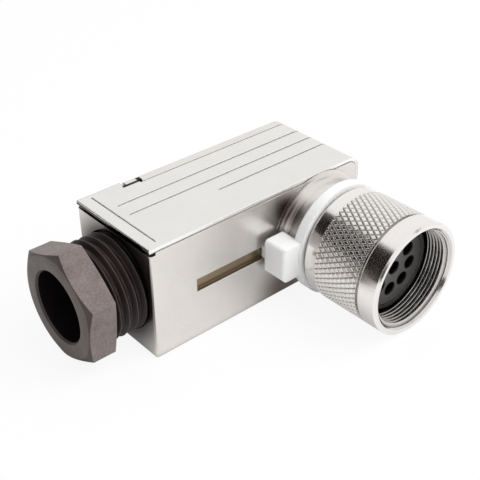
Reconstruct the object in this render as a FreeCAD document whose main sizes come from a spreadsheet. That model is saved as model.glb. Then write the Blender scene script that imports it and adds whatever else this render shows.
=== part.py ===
import FreeCAD, Part
import math
import os
import re

import Sketcher

os.makedirs("parts", exist_ok=True)

# Right-angle multipole cable connector with a threaded coupling ring.
# The box lies on its bottom face. +X runs along the box, away from the cable gland,
# -Y is the way the coupling ring points, and +Z is up.
# The origin is the centre of the box's bottom face. Lengths are millimetres.

SIZES = {
    # Cast box and its sheet cover
    "box_length": 42.2,
    "box_side_wall": 1.3,
    "box_top_wall": 1.75,
    "wall": 1.0,
    "corner_radius": 0.5,
    "bottom_edge_radius": 0.45,
    "cover_sheet": 0.6,
    "cover_bend_radius": 2.3,
    "cover_front_gap": 0.1,
    "cover_seat_gap": 0.05,
    "left_end_gap": 0.45,
    # Stepped seam between the cover and the lip of the back wall
    "lip_start": 8.3,
    "lip_step": 11.0,
    "lip_step_width": 1.2,
    "lip_width": 1.8,
    "lip_edge_radius": 0.35,
    "notch_gap": 0.5,
    "seam_gap": 0.15,
    # Hook of the cover around the bead at the lower right edge
    "hinge_reach": 1.4,
    "hinge_neck": 0.6,
    "hinge_gap": 0.1,
    "hinge_side_gap": 0.2,
    "hook_angle": 100,
    "hook_relief": 1.0,
    # Lines pressed into the cover
    "line_width": 0.28,
    "line_depth": 0.2,
    "line_pitch": 3.15,
    "line_first": 6.65,
    "line_start_long": 3.65,
    "line_start_short": 18.0,
    "cross_line_inset": 2.1,
    "cross_line_margin": 1.5,
    # Blind slot in the front wall
    "slot_start": 8.0,
    "slot_height": 2.24,
    "slot_depth": 0.6,
    # Ribs inside the box
    "boss_length": 6.5,
    "rib_opening_gap": 0.2,
    # Collar on the front wall
    "ring_margin": 2.17,
    "spigot_wall": 0.67,
    "collar_step": 0.7,
    "collar_length": 3.8,
    "collar_flare": 1.3,
    "flare_rim": 0.04,
    "press_gap": 0.03,
    # Index ring with its lug
    "index_rim": 1.2,
    "index_gap": 0.05,
    "index_thickness": 1.7,
    "lug_stand": 2.95,
    "lug_collar_gap": 0.45,
    "lug_height": 5.9,
    "lug_back": 0.9,
    "lug_setback": 0.25,
    "lug_edge_radius": 0.6,
    "tongue_width": 1.6,
    "tongue_reach": 1.4,
    "tongue_gap": 0.1,
    # Coupling ring
    "coupling_wall": 1.65,
    "coupling_gap": 0.15,
    "coupling_length": 14.9,
    "coupling_flange": 1.4,
    "mating_room": 0.67,
    "thread_relief": 0.55,
    "mouth_depth": 0.85,
    "rim_chamfer": 0.3,
    "rear_bevel": 0.6,
    "rim_length": 3.3,
    "knurl_length": 8.4,
    "knurl_step": 0.15,
    "knurl_groove": 0.5,
    "running_gap": 0.07,
    # Shield sleeve and what holds the coupling ring on it
    "sleeve_step": 0.97,
    "sleeve_wall": 0.6,
    "sleeve_flange_step": 0.25,
    "sleeve_flange": 1.2,
    "sleeve_lead": 0.1,
    "friction_washer_thickness": 0.3,
    "washer_side_gap": 0.05,
    "retaining_ring_width": 0.8,
    "retaining_ring_gap": 0.45,
    "retaining_groove_depth": 0.3,
    "retaining_ring_opening": 2.0,
    # Insulators and the ring that holds them
    "mating_depth": 4.35,
    "insert_length": 7.3,
    "insert_gap": 0.05,
    "carrier_length": 3.4,
    "retainer_length": 1.6,
    "retainer_rim": 0.98,
    # Contacts
    "contact_edge": 2.6,
    "contact_pitch_angle": 45,
    "contact_first_angle": 36,
    "contact_web": 0.25,
    "contact_recess": 1.5,
    "contact_side_gap": 0.15,
    "contact_wall": 0.35,
    "contact_bore_depth": 4.5,
    "contact_step": 0.15,
    "contact_gap": 0.05,
    "cup_reach": 6.5,
    "cup_wall": 0.25,
    "cup_depth": 2.6,
    # Gland screw and what it presses on
    "gland_thread_radius": 7.9,
    "gland_thread_gap": 0.1,
    "gland_wall": 2.25,
    "gland_exposed": 5.75,
    "gland_inset": 0.5,
    "hex_step": 0.35,
    "hex_thickness": 4.6,
    "hex_angle": 52,
    "hex_face_step": 0.2,
    "hex_chamfer_height": 0.85,
    "gland_lip": 0.3,
    "gland_lip_depth": 0.3,
    "thrust_washer_thickness": 0.8,
    "thrust_washer_clear": 0.15,
    "gland_travel": 4.5,
    "gland_travel_spare": 0.6,
    "seal_length": 4.4,
    "seal_side_gap": 0.25,
    "seal_bore_radius": 3.4,
    "seal_cone": 1.2,
    "seal_cone_depth": 1.1,
    "seat_washer_thickness": 0.8,
    "seat_washer_ledge": 0.85,
    "stack_gap": 0.1,
}
CONTACT_COUNT = 8

# Sizes that follow from others. Both ends are of one shell size, so all of them go back to the
# thread of the gland screw.
FOLLOWING = {
    "box_width": "2 * (gland_thread_radius + box_side_wall)",
    "box_height": "2 * (gland_thread_radius + box_top_wall)",
    "gland_bore_radius": "gland_thread_radius - gland_wall",
    "hex_across": "2 * (gland_thread_radius + hex_step)",
    "seat_washer_bore": "gland_bore_radius - seat_washer_ledge",
    "rib_opening_radius": "seat_washer_bore + rib_opening_gap",
    "seal_radius": "box_width / 2 - wall - seal_side_gap",
    "sleeve_radius": "gland_thread_radius - sleeve_step",
    "insert_radius": "sleeve_radius - sleeve_wall - insert_gap",
    "contact_circle": "insert_radius - contact_edge",
    "contact_hole_radius": "contact_circle * sin(contact_pitch_angle * 1 deg / 2) - contact_web",
    "contact_barrel_radius": "contact_hole_radius - contact_side_gap",
    "contact_bore_radius": "contact_barrel_radius - contact_wall",
    "contact_shank_radius": "contact_barrel_radius - contact_step",
    "cup_bore_radius": "contact_shank_radius - cup_wall",
    "ring_inset": "sleeve_radius + ring_margin",
    "spigot_radius": "sleeve_radius + spigot_wall",
    "collar_radius": "spigot_radius + collar_step",
    "index_radius": "collar_radius + index_rim",
    "lug_reach": "index_radius + lug_stand",
    "thread_minor_radius": "sleeve_radius + mating_room",
    "relief_radius": "thread_minor_radius + thread_relief",
    "coupling_radius": "thread_minor_radius + coupling_wall",
}

document = FreeCAD.newDocument("AngledConnector")
sheet = document.addObject("Spreadsheet::Sheet", "Sizes")
for row, (alias, number) in enumerate(SIZES.items(), start=1):
    sheet.set(f"A{row}", alias)
    sheet.set(f"B{row}", str(number))
    sheet.setAlias(f"B{row}", alias)
document.recompute()


def formula(text):
    """Put the sheet's name before every size in a formula, and write out what follows from others."""
    def named(match):
        word = match.group()
        if word in FOLLOWING:
            return f"({formula(FOLLOWING[word])})"
        return "Sizes." + word if word in SIZES else word

    return re.sub(r"[a-z_]+", named, text)


def measure(text):
    """Work out a formula with the sheet's present sizes."""
    found = sheet.evalExpression(formula(text))
    return float(getattr(found, "Value", found))


def bind(item, path, text):
    """Tie one property to a formula of the sheet's sizes."""
    item.setExpression(path, formula(text))


def new_body(label):
    body = document.addObject("PartDesign::Body", label)
    body.Label = label
    return body


def place(body, across, along, up, turn=None):
    """Set a body's place by formulas, with an optional fixed turn."""
    if turn is not None:
        body.Placement = FreeCAD.Placement(FreeCAD.Vector(), turn)
    bind(body, "Placement.Base.x", across)
    bind(body, "Placement.Base.y", along)
    bind(body, "Placement.Base.z", up)


def new_sketch(body, name, plane, offset="0"):
    sketch = body.newObject("Sketcher::SketchObject", name)
    support = [item for item in body.Origin.OriginFeatures if item.Role == plane][0]
    sketch.AttachmentSupport = [(support, "")]
    sketch.MapMode = "FlatFace"
    bind(sketch, "AttachmentOffset.Base.z", offset)
    return sketch


def fix_point(sketch, edge, end, across, up):
    """Hold one sketch point at a place given by two formulas."""
    for kind, text in (("DistanceX", across), ("DistanceY", up)):
        index = sketch.addConstraint(Sketcher.Constraint(kind, -1, 1, edge, end, measure(text)))
        bind(sketch, f"Constraints[{index}]", text)


def arc_between(start, end, radius):
    """The short arc from start to end: it turns left where the radius is positive."""
    chord = end - start
    side = FreeCAD.Vector(-chord.y, chord.x, 0).normalize()
    height = math.sqrt(max(radius ** 2 - chord.Length ** 2 / 4, 0))
    centre = start + chord * 0.5 + side * (height if radius > 0 else -height)
    first, last = (start, end) if radius > 0 else (end, start)
    angles = [math.atan2(point.y - centre.y, point.x - centre.x) for point in (first, last)]
    circle = Part.Circle(centre, FreeCAD.Vector(0, 0, 1), abs(radius))
    return Part.ArcOfCircle(circle, angles[0], angles[1])


def add_outline(sketch, corners):
    """Close a run of corners. A third entry bends the edge that leaves the corner into an arc."""
    points = [FreeCAD.Vector(measure(corner[0]), measure(corner[1]), 0) for corner in corners]
    edges = []
    for number, corner in enumerate(corners):
        start, end = points[number], points[(number + 1) % len(points)]
        if len(corner) == 3:
            bend = measure(corner[2])
            edge = sketch.addGeometry(arc_between(start, end, bend))
            index = sketch.addConstraint(Sketcher.Constraint("Radius", edge, abs(bend)))
            bind(sketch, f"Constraints[{index}]", f"abs({corner[2]})")
            edges.append((edge, 1, 2) if bend > 0 else (edge, 2, 1))
        else:
            edge = sketch.addGeometry(Part.LineSegment(start, end))
            edges.append((edge, 1, 2))
    for number, (edge, first, last) in enumerate(edges):
        following = edges[(number + 1) % len(edges)]
        sketch.addConstraint(Sketcher.Constraint("Coincident", edge, last, following[0], following[1]))
        fix_point(sketch, edge, first, corners[number][0], corners[number][1])


def add_rectangle(sketch, left, low, right, high):
    add_outline(sketch, [(left, low), (right, low), (right, high), (left, high)])


def add_circle(sketch, across, up, radius):
    centre = FreeCAD.Vector(measure(across), measure(up), 0)
    edge = sketch.addGeometry(Part.Circle(centre, FreeCAD.Vector(0, 0, 1), measure(radius)))
    fix_point(sketch, edge, 3, across, up)
    index = sketch.addConstraint(Sketcher.Constraint("Radius", edge, measure(radius)))
    bind(sketch, f"Constraints[{index}]", radius)


def pad(body, sketch, length):
    feature = body.newObject("PartDesign::Pad", sketch.Name + "_pad")
    feature.Profile = sketch
    bind(feature, "Length", length)
    document.recompute()
    return feature


def cut(body, sketch, length):
    """Cut against the sketch's normal, and stop if nothing was removed."""
    before = body.Shape.Volume
    feature = body.newObject("PartDesign::Pocket", sketch.Name + "_cut")
    feature.Profile = sketch
    bind(feature, "Length", length)
    document.recompute()
    if not body.Shape.Volume < before:
        raise RuntimeError(f"{sketch.Name} removes nothing")
    return feature


def turn_profile(body, sketch, axis="V_Axis", angle="360", kind="PartDesign::Revolution"):
    feature = body.newObject(kind, sketch.Name + "_turn")
    feature.Profile = sketch
    feature.ReferenceAxis = (sketch, [axis])
    bind(feature, "Angle", angle)
    document.recompute()
    return feature


def round_edges(body, name, test, radius, kind="PartDesign::Fillet"):
    """Round or chamfer the edges whose two ends and middle pass a test."""
    base = body.Tip
    chosen = []
    for number, edge in enumerate(base.Shape.Edges, start=1):
        ends = [vertex.Point for vertex in edge.Vertexes]
        middle = edge.valueAt((edge.FirstParameter + edge.LastParameter) / 2)
        if test(ends + [middle]):
            chosen.append(f"Edge{number}")
    if not chosen:
        raise RuntimeError(f"{name} finds no edge")
    feature = body.newObject(kind, name)
    feature.Base = (base, chosen)
    bind(feature, "Radius" if kind.endswith("Fillet") else "Size", radius)
    document.recompute()
    return feature


def near(points, **targets):
    """True where every point has the given coordinates."""
    return all(
        abs(getattr(point, axis) - value) < 0.001 for point in points for axis, value in targets.items()
    )


# Places along the box, counted from the ring's axis on the outside of the front wall
LEFT = "(ring_inset - box_length)"
RIGHT = "ring_inset"
CASE_RIGHT = "(ring_inset - cover_sheet - cover_seat_gap)"
FLOOR = "(-box_height / 2)"
CEILING = "(box_height / 2)"
CASE_TOP = "(box_height / 2 - cover_sheet - cover_seat_gap)"
HINGE_X = "(ring_inset - hinge_reach)"
HINGE_Z = "(hinge_reach - box_height / 2)"
# Heights above the front wall along the ring's axis
SPIGOT_END = "(collar_length + 2 * index_gap + index_thickness)"
COUPLING_BACK = "(collar_length + 2 * index_gap + index_thickness + coupling_gap)"
COUPLING_FRONT = f"({COUPLING_BACK} + coupling_length)"
RING_STACK = f"({COUPLING_BACK} + coupling_flange + washer_side_gap)"
INSERT_FRONT = f"({COUPLING_FRONT} - mating_depth)"
INSERT_BACK = f"({INSERT_FRONT} - insert_length)"
SLEEVE_FRONT = f"({INSERT_FRONT} + sleeve_lead)"

# Depths inside the left end along the gland's axis
GLAND_ENGAGED = "(boss_length - gland_inset)"
RIB_START = (
    f"({GLAND_ENGAGED} + 3 * stack_gap + thrust_washer_thickness + gland_travel"
    " + gland_travel_spare + seal_length + seat_washer_thickness)"
)

TO_RING = FreeCAD.Rotation(FreeCAD.Vector(1, 0, 0), 90)
TO_GLAND = FreeCAD.Rotation(FreeCAD.Vector(0, 1, 0), -90)


def place_on_ring(body, across="0", up="0", turn=TO_RING):
    place(
        body,
        f"box_length / 2 - ring_inset + {across}",
        "-box_width / 2",
        f"box_height / 2 + {up}",
        turn,
    )


def place_on_gland(body):
    place(body, "-box_length / 2", "0", "box_height / 2", TO_GLAND)


def build_case():
    """The cast box: floor, front wall, left end, back wall with its lip, and the collar."""
    body = new_body("body_shell")
    block = new_sketch(body, "case_block", "XY_Plane", FLOOR)
    add_rectangle(block, LEFT, "0", CASE_RIGHT, "box_width")
    pad(body, block, "box_height - cover_sheet - cover_seat_gap")
    left, width = measure(LEFT), measure("box_width")
    round_edges(
        body,
        "case_corners",
        lambda points: near(points, x=left, y=0) or near(points, x=left, y=width),
        "corner_radius",
    )
    floor, case_right = measure(FLOOR), measure(CASE_RIGHT)
    round_edges(
        body,
        "case_bottom_edges",
        lambda points: near(points, z=floor) and not near(points, x=case_right),
        "bottom_edge_radius",
    )

    case_top = measure(CASE_TOP)
    round_edges(
        body,
        "case_under_bend",
        lambda points: near(points, x=case_right, z=case_top),
        "cover_bend_radius - cover_sheet",
    )

    # The gland boss and the rib behind the seal are left standing between two chambers.
    chambers = new_sketch(body, "chambers", "XY_Plane", CASE_TOP)
    inner_back = "(box_width - wall)"
    add_rectangle(chambers, f"{LEFT} + boss_length", "wall", f"{LEFT} + {RIB_START}", inner_back)
    add_rectangle(chambers, f"{LEFT} + {RIB_START} + wall", "wall", CASE_RIGHT, inner_back)
    cut(body, chambers, "box_height - cover_sheet - cover_seat_gap - wall")

    # The lip of the back wall widens in one step, and the cover's edge follows it.
    lip = new_sketch(body, "back_lip", "XY_Plane", CASE_TOP)
    add_outline(
        lip,
        [
            (f"{LEFT} + lip_start", "box_width - lip_step_width"),
            (f"{LEFT} + lip_step", "box_width - lip_step_width"),
            (f"{LEFT} + lip_step", "box_width - lip_width"),
            (RIGHT, "box_width - lip_width"),
            (RIGHT, "box_width"),
            (f"{LEFT} + lip_start", "box_width"),
        ],
    )
    pad(body, lip, "cover_sheet + cover_seat_gap")
    post = new_sketch(body, "right_post", "XY_Plane", FLOOR)
    post_start = f"{CASE_RIGHT} - cover_bend_radius"
    add_rectangle(post, post_start, "box_width - lip_width", RIGHT, "box_width")
    pad(body, post, "box_height")
    right, ceiling = measure(RIGHT), measure(CEILING)
    round_edges(
        body, "post_bend", lambda points: near(points, x=right, z=ceiling), "cover_bend_radius"
    )
    round_edges(
        body, "lip_edge", lambda points: near(points, y=width, z=ceiling), "lip_edge_radius"
    )

    left_gap = new_sketch(body, "left_gap", "XY_Plane", CASE_TOP)
    add_rectangle(left_gap, f"{LEFT} - wall", "-wall", f"{LEFT} + wall", "box_width + wall")
    cut(body, left_gap, "left_end_gap")

    gland_bore = new_sketch(body, "gland_bore", "YZ_Plane", f"{LEFT} + boss_length")
    add_circle(gland_bore, "box_width / 2", "0", "gland_thread_radius + gland_thread_gap")
    cut(body, gland_bore, "boss_length")
    rib_opening = new_sketch(body, "rib_opening", "YZ_Plane", f"{LEFT} + {RIB_START} + wall")
    add_circle(rib_opening, "box_width / 2", "0", "rib_opening_radius")
    cut(body, rib_opening, "wall")
    slot = new_sketch(body, "front_slot", "XZ_Plane")
    slot_end = "lug_edge_radius + tongue_width + tongue_gap - lug_reach"
    add_rectangle(slot, f"{LEFT} + slot_start", "-slot_height / 2", slot_end, "slot_height / 2")
    cut(body, slot, "slot_depth")

    add_hinge_bead(body)
    add_collar(body)
    place_on_ring(body, turn=FreeCAD.Rotation())
    return body


def add_hinge_bead(body):
    """The floor stops short of the right end, where a neck carries the round bead."""
    reach = f"{HINGE_X} - hinge_reach - hinge_gap"
    floor_end = new_sketch(body, "floor_end", "XY_Plane", f"{FLOOR} + wall + bottom_edge_radius")
    add_rectangle(floor_end, reach, "wall", CASE_RIGHT, "box_width - wall")
    cut(body, floor_end, "wall + bottom_edge_radius")
    neck = new_sketch(body, "bead_neck", "XZ_Plane", "wall / 2 - box_width")
    low, high = f"{HINGE_Z} - hinge_neck / 2", f"{HINGE_Z} + hinge_neck / 2"
    add_outline(
        neck,
        [
            (f"{reach} - wall", f"{FLOOR} + wall / 2"),
            (reach, f"{FLOOR} + wall / 2"),
            (reach, low),
            (HINGE_X, low),
            (HINGE_X, high),
            (f"{reach} - wall", high),
        ],
    )
    pad(body, neck, "box_width - wall")
    bead = new_sketch(body, "hinge_bead", "XZ_Plane", "wall / 2 - box_width")
    add_circle(bead, HINGE_X, HINGE_Z, "hinge_reach - cover_sheet - hinge_gap")
    pad(body, bead, "box_width - wall")


def add_collar(body):
    """The collar grows out of the front wall with a hollow flare and steps down to a spigot."""
    inner = "sleeve_radius - wall"
    collar = new_sketch(body, "collar", "YZ_Plane")
    end = f"-{SPIGOT_END}"
    add_outline(
        collar,
        [
            ("wall / 2", inner),
            ("wall / 2", "collar_radius"),
            ("0", "collar_radius"),
            ("0", "collar_radius + collar_flare"),
            ("-flare_rim", "collar_radius + collar_flare", "-(collar_flare - flare_rim)"),
            ("-collar_flare", "collar_radius + flare_rim"),
            ("-collar_flare - flare_rim", "collar_radius"),
            ("-collar_length", "collar_radius"),
            ("-collar_length", "spigot_radius"),
            (end, "spigot_radius"),
            (end, inner),
        ],
    )
    turn_profile(body, collar, "H_Axis")
    flush = new_sketch(body, "flare_end", "XZ_Plane", "collar_flare + flare_rim")
    beyond = "ring_inset + collar_radius"
    add_rectangle(flush, RIGHT, FLOOR, beyond, CEILING)
    cut(body, flush, "collar_flare + flare_rim + wall")
    bore = new_sketch(body, "collar_bore", "XZ_Plane", SPIGOT_END)
    add_circle(bore, "0", "0", "sleeve_radius + press_gap")
    cut(body, bore, f"{SPIGOT_END} + wall")


def build_cover():
    """The sheet cover, counted from its hinge: top plate, bent right end and rolled hook."""
    body = new_body("cover")
    left = "(hinge_reach - box_length)"
    top = "(box_height - hinge_reach)"
    seam = "(box_width - lip_width - seam_gap)"
    step = "(box_width - lip_step_width - seam_gap)"
    plate = new_sketch(body, "cover_plate", "XY_Plane", f"{top} - cover_sheet")
    add_outline(
        plate,
        [
            (left, "cover_front_gap"),
            ("hinge_reach", "cover_front_gap"),
            ("hinge_reach", seam),
            (f"{left} + lip_step - notch_gap", seam),
            (f"{left} + lip_step - notch_gap", step),
            (f"{left} + lip_start - notch_gap", step),
            (f"{left} + lip_start - notch_gap", "box_width"),
            (left, "box_width"),
        ],
    )
    pad(body, plate, "cover_sheet")
    end = new_sketch(body, "cover_end", "XY_Plane")
    inside = "(hinge_reach - cover_sheet)"
    add_rectangle(end, inside, "cover_front_gap", "hinge_reach", seam)
    pad(body, end, f"{top} - cover_sheet")
    outer_x, inner_x = measure("hinge_reach"), measure(inside)
    outer_z, inner_z = measure(top), measure(f"{top} - cover_sheet")
    round_edges(
        body, "outer_bend", lambda points: near(points, x=outer_x, z=outer_z), "cover_bend_radius"
    )
    round_edges(
        body,
        "inner_bend",
        lambda points: near(points, x=inner_x, z=inner_z),
        "cover_bend_radius - cover_sheet",
    )
    relief = new_sketch(body, "hook_relief_corner", "XY_Plane", "hook_relief")
    add_rectangle(relief, "0", "0", "hinge_reach + wall", "wall + hinge_side_gap")
    cut(body, relief, "hook_relief")
    hook = new_sketch(body, "hook", "XY_Plane")
    add_rectangle(hook, inside, "wall + hinge_side_gap", "hinge_reach", seam)
    turn_profile(body, hook, angle="hook_angle")

    # Three long lines and one cross line are pressed into the top.
    lines = new_sketch(body, "pressed_lines", "XY_Plane", top)
    bend_start = "(hinge_reach - cover_bend_radius)"
    half = "line_width / 2"
    for number, start in enumerate(("line_start_short", "line_start_long", "line_start_long")):
        middle = f"line_first + {number} * line_pitch"
        add_rectangle(lines, f"{left} + {start}", f"{middle} - {half}", bend_start, f"{middle} + {half}")
    cross = f"{left} + cross_line_inset"
    add_rectangle(
        lines,
        f"{cross} - {half} / 2",
        "cross_line_margin",
        f"{cross} + {half} / 2",
        "box_width - cross_line_margin / 2",
    )
    cut(body, lines, "line_depth")
    around = new_sketch(body, "lines_around_bend", "XY_Plane", f"{top} - cover_bend_radius")
    for number in range(3):
        middle = f"line_first + {number} * line_pitch"
        add_rectangle(
            around,
            "hinge_reach - line_depth",
            f"{middle} - {half}",
            "hinge_reach + wall",
            f"{middle} + {half}",
        )
    add_turn_axis(around, bend_start)
    wrap = turn_profile(body, around, "Axis0", "90", "PartDesign::Groove")
    wrap.Reversed = True
    document.recompute()
    place(body, "box_length / 2 - hinge_reach", "-box_width / 2", "hinge_reach")
    return body


def add_turn_axis(sketch, across):
    """A construction line along Y that a groove can turn about."""
    start, end = FreeCAD.Vector(measure(across), 0, 0), FreeCAD.Vector(measure(across), 1, 0)
    edge = sketch.addGeometry(Part.LineSegment(start, end), True)
    fix_point(sketch, edge, 1, across, "0")
    fix_point(sketch, edge, 2, across, "wall")


def turned_piece(label, corners):
    """A piece turned about its own Z axis from corners of radius and height."""
    body = new_body(label)
    profile = new_sketch(body, label + "_profile", "XZ_Plane")
    add_outline(profile, corners)
    turn_profile(body, profile)
    return body


def tube(label, bore, radius, low, high):
    return turned_piece(label, [(bore, low), (radius, low), (radius, high), (bore, high)])


def build_index_ring():
    """The moulded ring on the collar's spigot, with its lug and the tongue in the slot."""
    low = "collar_length + index_gap"
    high = "collar_length + index_gap + index_thickness"
    body = tube("index_ring", "spigot_radius + index_gap", "index_radius", low, high)
    lug = new_sketch(body, "lug", "XY_Plane", "lug_back")
    half = "lug_height / 2"
    add_rectangle(lug, "-lug_reach", f"-{half}", "-collar_radius - lug_collar_gap", half)
    pad(body, lug, "collar_length + index_gap + index_thickness - lug_setback - lug_back")
    reach = measure("lug_reach")
    round_edges(
        body,
        "lug_edges",
        lambda points: near(points, x=-reach) and not near(points, z=measure("lug_back")),
        "lug_edge_radius",
    )
    tongue = new_sketch(body, "tongue", "XY_Plane", "lug_back - tongue_reach")
    tall = "(slot_height / 2 - tongue_gap)"
    tongue_start = "lug_edge_radius - lug_reach"
    add_rectangle(tongue, tongue_start, f"-{tall}", f"{tongue_start} + tongue_width", tall)
    pad(body, tongue, "tongue_reach")
    place_on_ring(body)
    return body


def build_coupling_ring():
    """The ring that screws onto the mating half: bevelled back, knurl band, plain rim."""
    bore = "sleeve_radius + running_gap"
    back, front = COUPLING_BACK, COUPLING_FRONT
    rim = f"{COUPLING_FRONT} - rim_length"
    knurl = f"{COUPLING_FRONT} - rim_length - knurl_groove"
    relief = f"{COUPLING_BACK} + coupling_flange"
    thread = f"{SLEEVE_FRONT} + insert_gap"
    body = turned_piece(
        "coupling_ring",
        [
            (bore, back),
            ("coupling_radius - rear_bevel", back),
            ("coupling_radius - knurl_step", f"{back} + rear_bevel"),
            ("coupling_radius - knurl_step", f"{knurl} - knurl_length"),
            ("coupling_radius", f"{knurl} - knurl_length"),
            ("coupling_radius", knurl),
            ("coupling_radius - knurl_groove", knurl),
            ("coupling_radius - knurl_groove", rim),
            ("coupling_radius", rim),
            ("coupling_radius", f"{front} - rim_chamfer"),
            ("coupling_radius - rim_chamfer", front),
            ("thread_minor_radius + mouth_depth", front),
            ("thread_minor_radius", f"{front} - mouth_depth"),
            ("thread_minor_radius", thread),
            ("relief_radius", thread),
            ("relief_radius", relief),
            (bore, relief),
        ],
    )
    place_on_ring(body)
    return body


def build_sleeve():
    """The shield sleeve that carries the insulators, the coupling ring and its retaining ring."""
    inside = "sleeve_radius - sleeve_wall"
    groove = f"{RING_STACK} + friction_washer_thickness + washer_side_gap"
    body = turned_piece(
        "shield_sleeve",
        [
            (inside, "-wall - sleeve_flange"),
            ("sleeve_radius + sleeve_flange_step", "-wall - sleeve_flange"),
            ("sleeve_radius + sleeve_flange_step", "-wall"),
            ("sleeve_radius", "-wall"),
            ("sleeve_radius", groove),
            ("sleeve_radius - retaining_groove_depth", groove),
            ("sleeve_radius - retaining_groove_depth", f"{groove} + retaining_ring_width"),
            ("sleeve_radius", f"{groove} + retaining_ring_width"),
            ("sleeve_radius", SLEEVE_FRONT),
            (inside, SLEEVE_FRONT),
        ],
    )
    place_on_ring(body)
    washer = tube(
        "friction_washer",
        "sleeve_radius + running_gap",
        "relief_radius - running_gap",
        RING_STACK,
        f"{RING_STACK} + friction_washer_thickness",
    )
    place_on_ring(washer)
    ring = tube(
        "retaining_ring",
        "sleeve_radius - retaining_groove_depth + press_gap",
        "relief_radius - retaining_ring_gap",
        f"{groove} + press_gap",
        f"{groove} + retaining_ring_width - press_gap",
    )
    opening = new_sketch(ring, "ring_opening", "XY_Plane", f"{groove} + retaining_ring_width")
    half = "retaining_ring_opening / 2"
    add_rectangle(opening, f"-{half}", "0", half, "relief_radius + wall")
    cut(ring, opening, "retaining_ring_width")
    place_on_ring(ring)


def contact_place(number):
    """Formulas for a contact's place: one in the middle and seven round it."""
    if number == 0:
        return "0", "0"
    angle = f"((contact_first_angle - {number - 1} * contact_pitch_angle) * 1 deg)"
    return f"contact_circle * cos({angle})", f"contact_circle * sin({angle})"


def build_insulators():
    """The moulded insert with its contact holes, the carrier behind it and the ring that holds both."""
    pieces = (
        ("contact_insert", INSERT_BACK, INSERT_FRONT, "contact_hole_radius"),
        (
            "contact_carrier",
            f"{INSERT_BACK} - insert_gap - carrier_length",
            f"{INSERT_BACK} - insert_gap",
            "contact_shank_radius + contact_gap",
        ),
    )
    for label, low, high, hole in pieces:
        body = new_body(label)
        disc = new_sketch(body, label + "_disc", "XY_Plane", low)
        add_circle(disc, "0", "0", "insert_radius")
        pad(body, disc, f"({high}) - ({low})")
        holes = new_sketch(body, label + "_holes", "XY_Plane", high)
        for number in range(CONTACT_COUNT):
            across, up = contact_place(number)
            add_circle(holes, across, up, hole)
        cut(body, holes, f"({high}) - ({low})")
        place_on_ring(body)
    top = f"{INSERT_BACK} - 2 * insert_gap - carrier_length"
    low = f"{top} - retainer_length"
    retainer = tube("insert_retainer", "insert_radius - retainer_rim", "insert_radius", low, top)
    place_on_ring(retainer)


def build_contacts():
    """Turned sockets that step down behind the insert, with a solder cup at the back."""
    back = f"{INSERT_BACK} - insert_gap - carrier_length - cup_reach"
    front = f"{INSERT_FRONT} - contact_recess"
    for number in range(CONTACT_COUNT):
        body = turned_piece(
            f"contact_{number + 1}",
            [
                ("cup_bore_radius", back),
                ("contact_shank_radius", back),
                ("contact_shank_radius", INSERT_BACK),
                ("contact_barrel_radius", INSERT_BACK),
                ("contact_barrel_radius", front),
                ("contact_bore_radius", front),
                ("contact_bore_radius", f"{front} - contact_bore_depth"),
                ("0", f"{front} - contact_bore_depth"),
                ("0", f"{back} + cup_depth"),
                ("cup_bore_radius", f"{back} + cup_depth"),
            ],
        )
        open_side = new_sketch(body, f"cup_side_{number + 1}", "XY_Plane", f"{back} + cup_depth")
        wide = "contact_shank_radius + wall"
        add_rectangle(open_side, f"-({wide})", "0", wide, wide)
        cut(body, open_side, "cup_depth")
        across, up = contact_place(number)
        place_on_ring(body, across, up)


def build_gland():
    """The hollow gland screw and the washers and seal that it presses together."""
    body = tube(
        "gland_screw",
        "gland_bore_radius",
        "gland_thread_radius",
        f"-{GLAND_ENGAGED}",
        "gland_exposed + wall",
    )
    head = new_sketch(body, "hex_head", "XY_Plane", "gland_exposed")
    corner = "hex_across / 2 / cos(30 deg)"
    turns = [f"(({side * 60} + hex_angle) * 1 deg)" for side in range(6)]
    add_outline(head, [(f"{corner} * cos{turn}", f"{corner} * sin{turn}") for turn in turns])
    pad(body, head, "hex_thickness")
    bore = new_sketch(body, "head_bore", "XY_Plane", "gland_exposed + hex_thickness")
    add_circle(bore, "0", "0", "gland_bore_radius")
    cut(body, bore, "hex_thickness")
    face = "gland_exposed + hex_thickness"
    rim = "(hex_across / 2 - hex_face_step)"
    chamfer = new_sketch(body, "hex_chamfer", "XZ_Plane")
    add_outline(
        chamfer,
        [
            (rim, face),
            ("hex_across", face),
            ("hex_across", f"{face} - hex_chamfer_height * (hex_across - {rim}) / ({corner} - {rim})"),
        ],
    )
    turn_profile(body, chamfer, kind="PartDesign::Groove")
    lip = new_sketch(body, "gland_lip", "XZ_Plane")
    add_outline(
        lip,
        [
            ("gland_bore_radius - wall", face),
            ("gland_bore_radius - wall", f"{face} - gland_lip_depth"),
            ("gland_bore_radius", f"{face} - gland_lip_depth"),
            ("gland_bore_radius + gland_lip", face),
        ],
    )
    turn_profile(body, lip, kind="PartDesign::Groove")
    place_on_gland(body)

    washer_top = f"-{GLAND_ENGAGED} - stack_gap"
    washer_low = f"{washer_top} - thrust_washer_thickness"
    opening, edge = "gland_bore_radius + thrust_washer_clear", "gland_thread_radius - running_gap"
    thrust = tube("thrust_washer", opening, edge, washer_low, washer_top)
    place_on_gland(thrust)

    seat_low = f"-{RIB_START} + stack_gap"
    seat_top = f"{seat_low} + seat_washer_thickness"
    place_on_gland(tube("seat_washer", "seat_washer_bore", "seal_radius", seat_low, seat_top))
    low = f"{seat_top} + stack_gap"
    high = f"{low} + seal_length"
    seal = turned_piece(
        "cable_seal",
        [
            ("seal_bore_radius + seal_cone", low),
            ("seal_radius", low),
            ("seal_radius", high),
            ("seal_bore_radius + seal_cone", high),
            ("seal_bore_radius", f"{high} - seal_cone_depth"),
            ("seal_bore_radius", f"{low} + seal_cone_depth"),
        ],
    )
    place_on_gland(seal)


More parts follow.
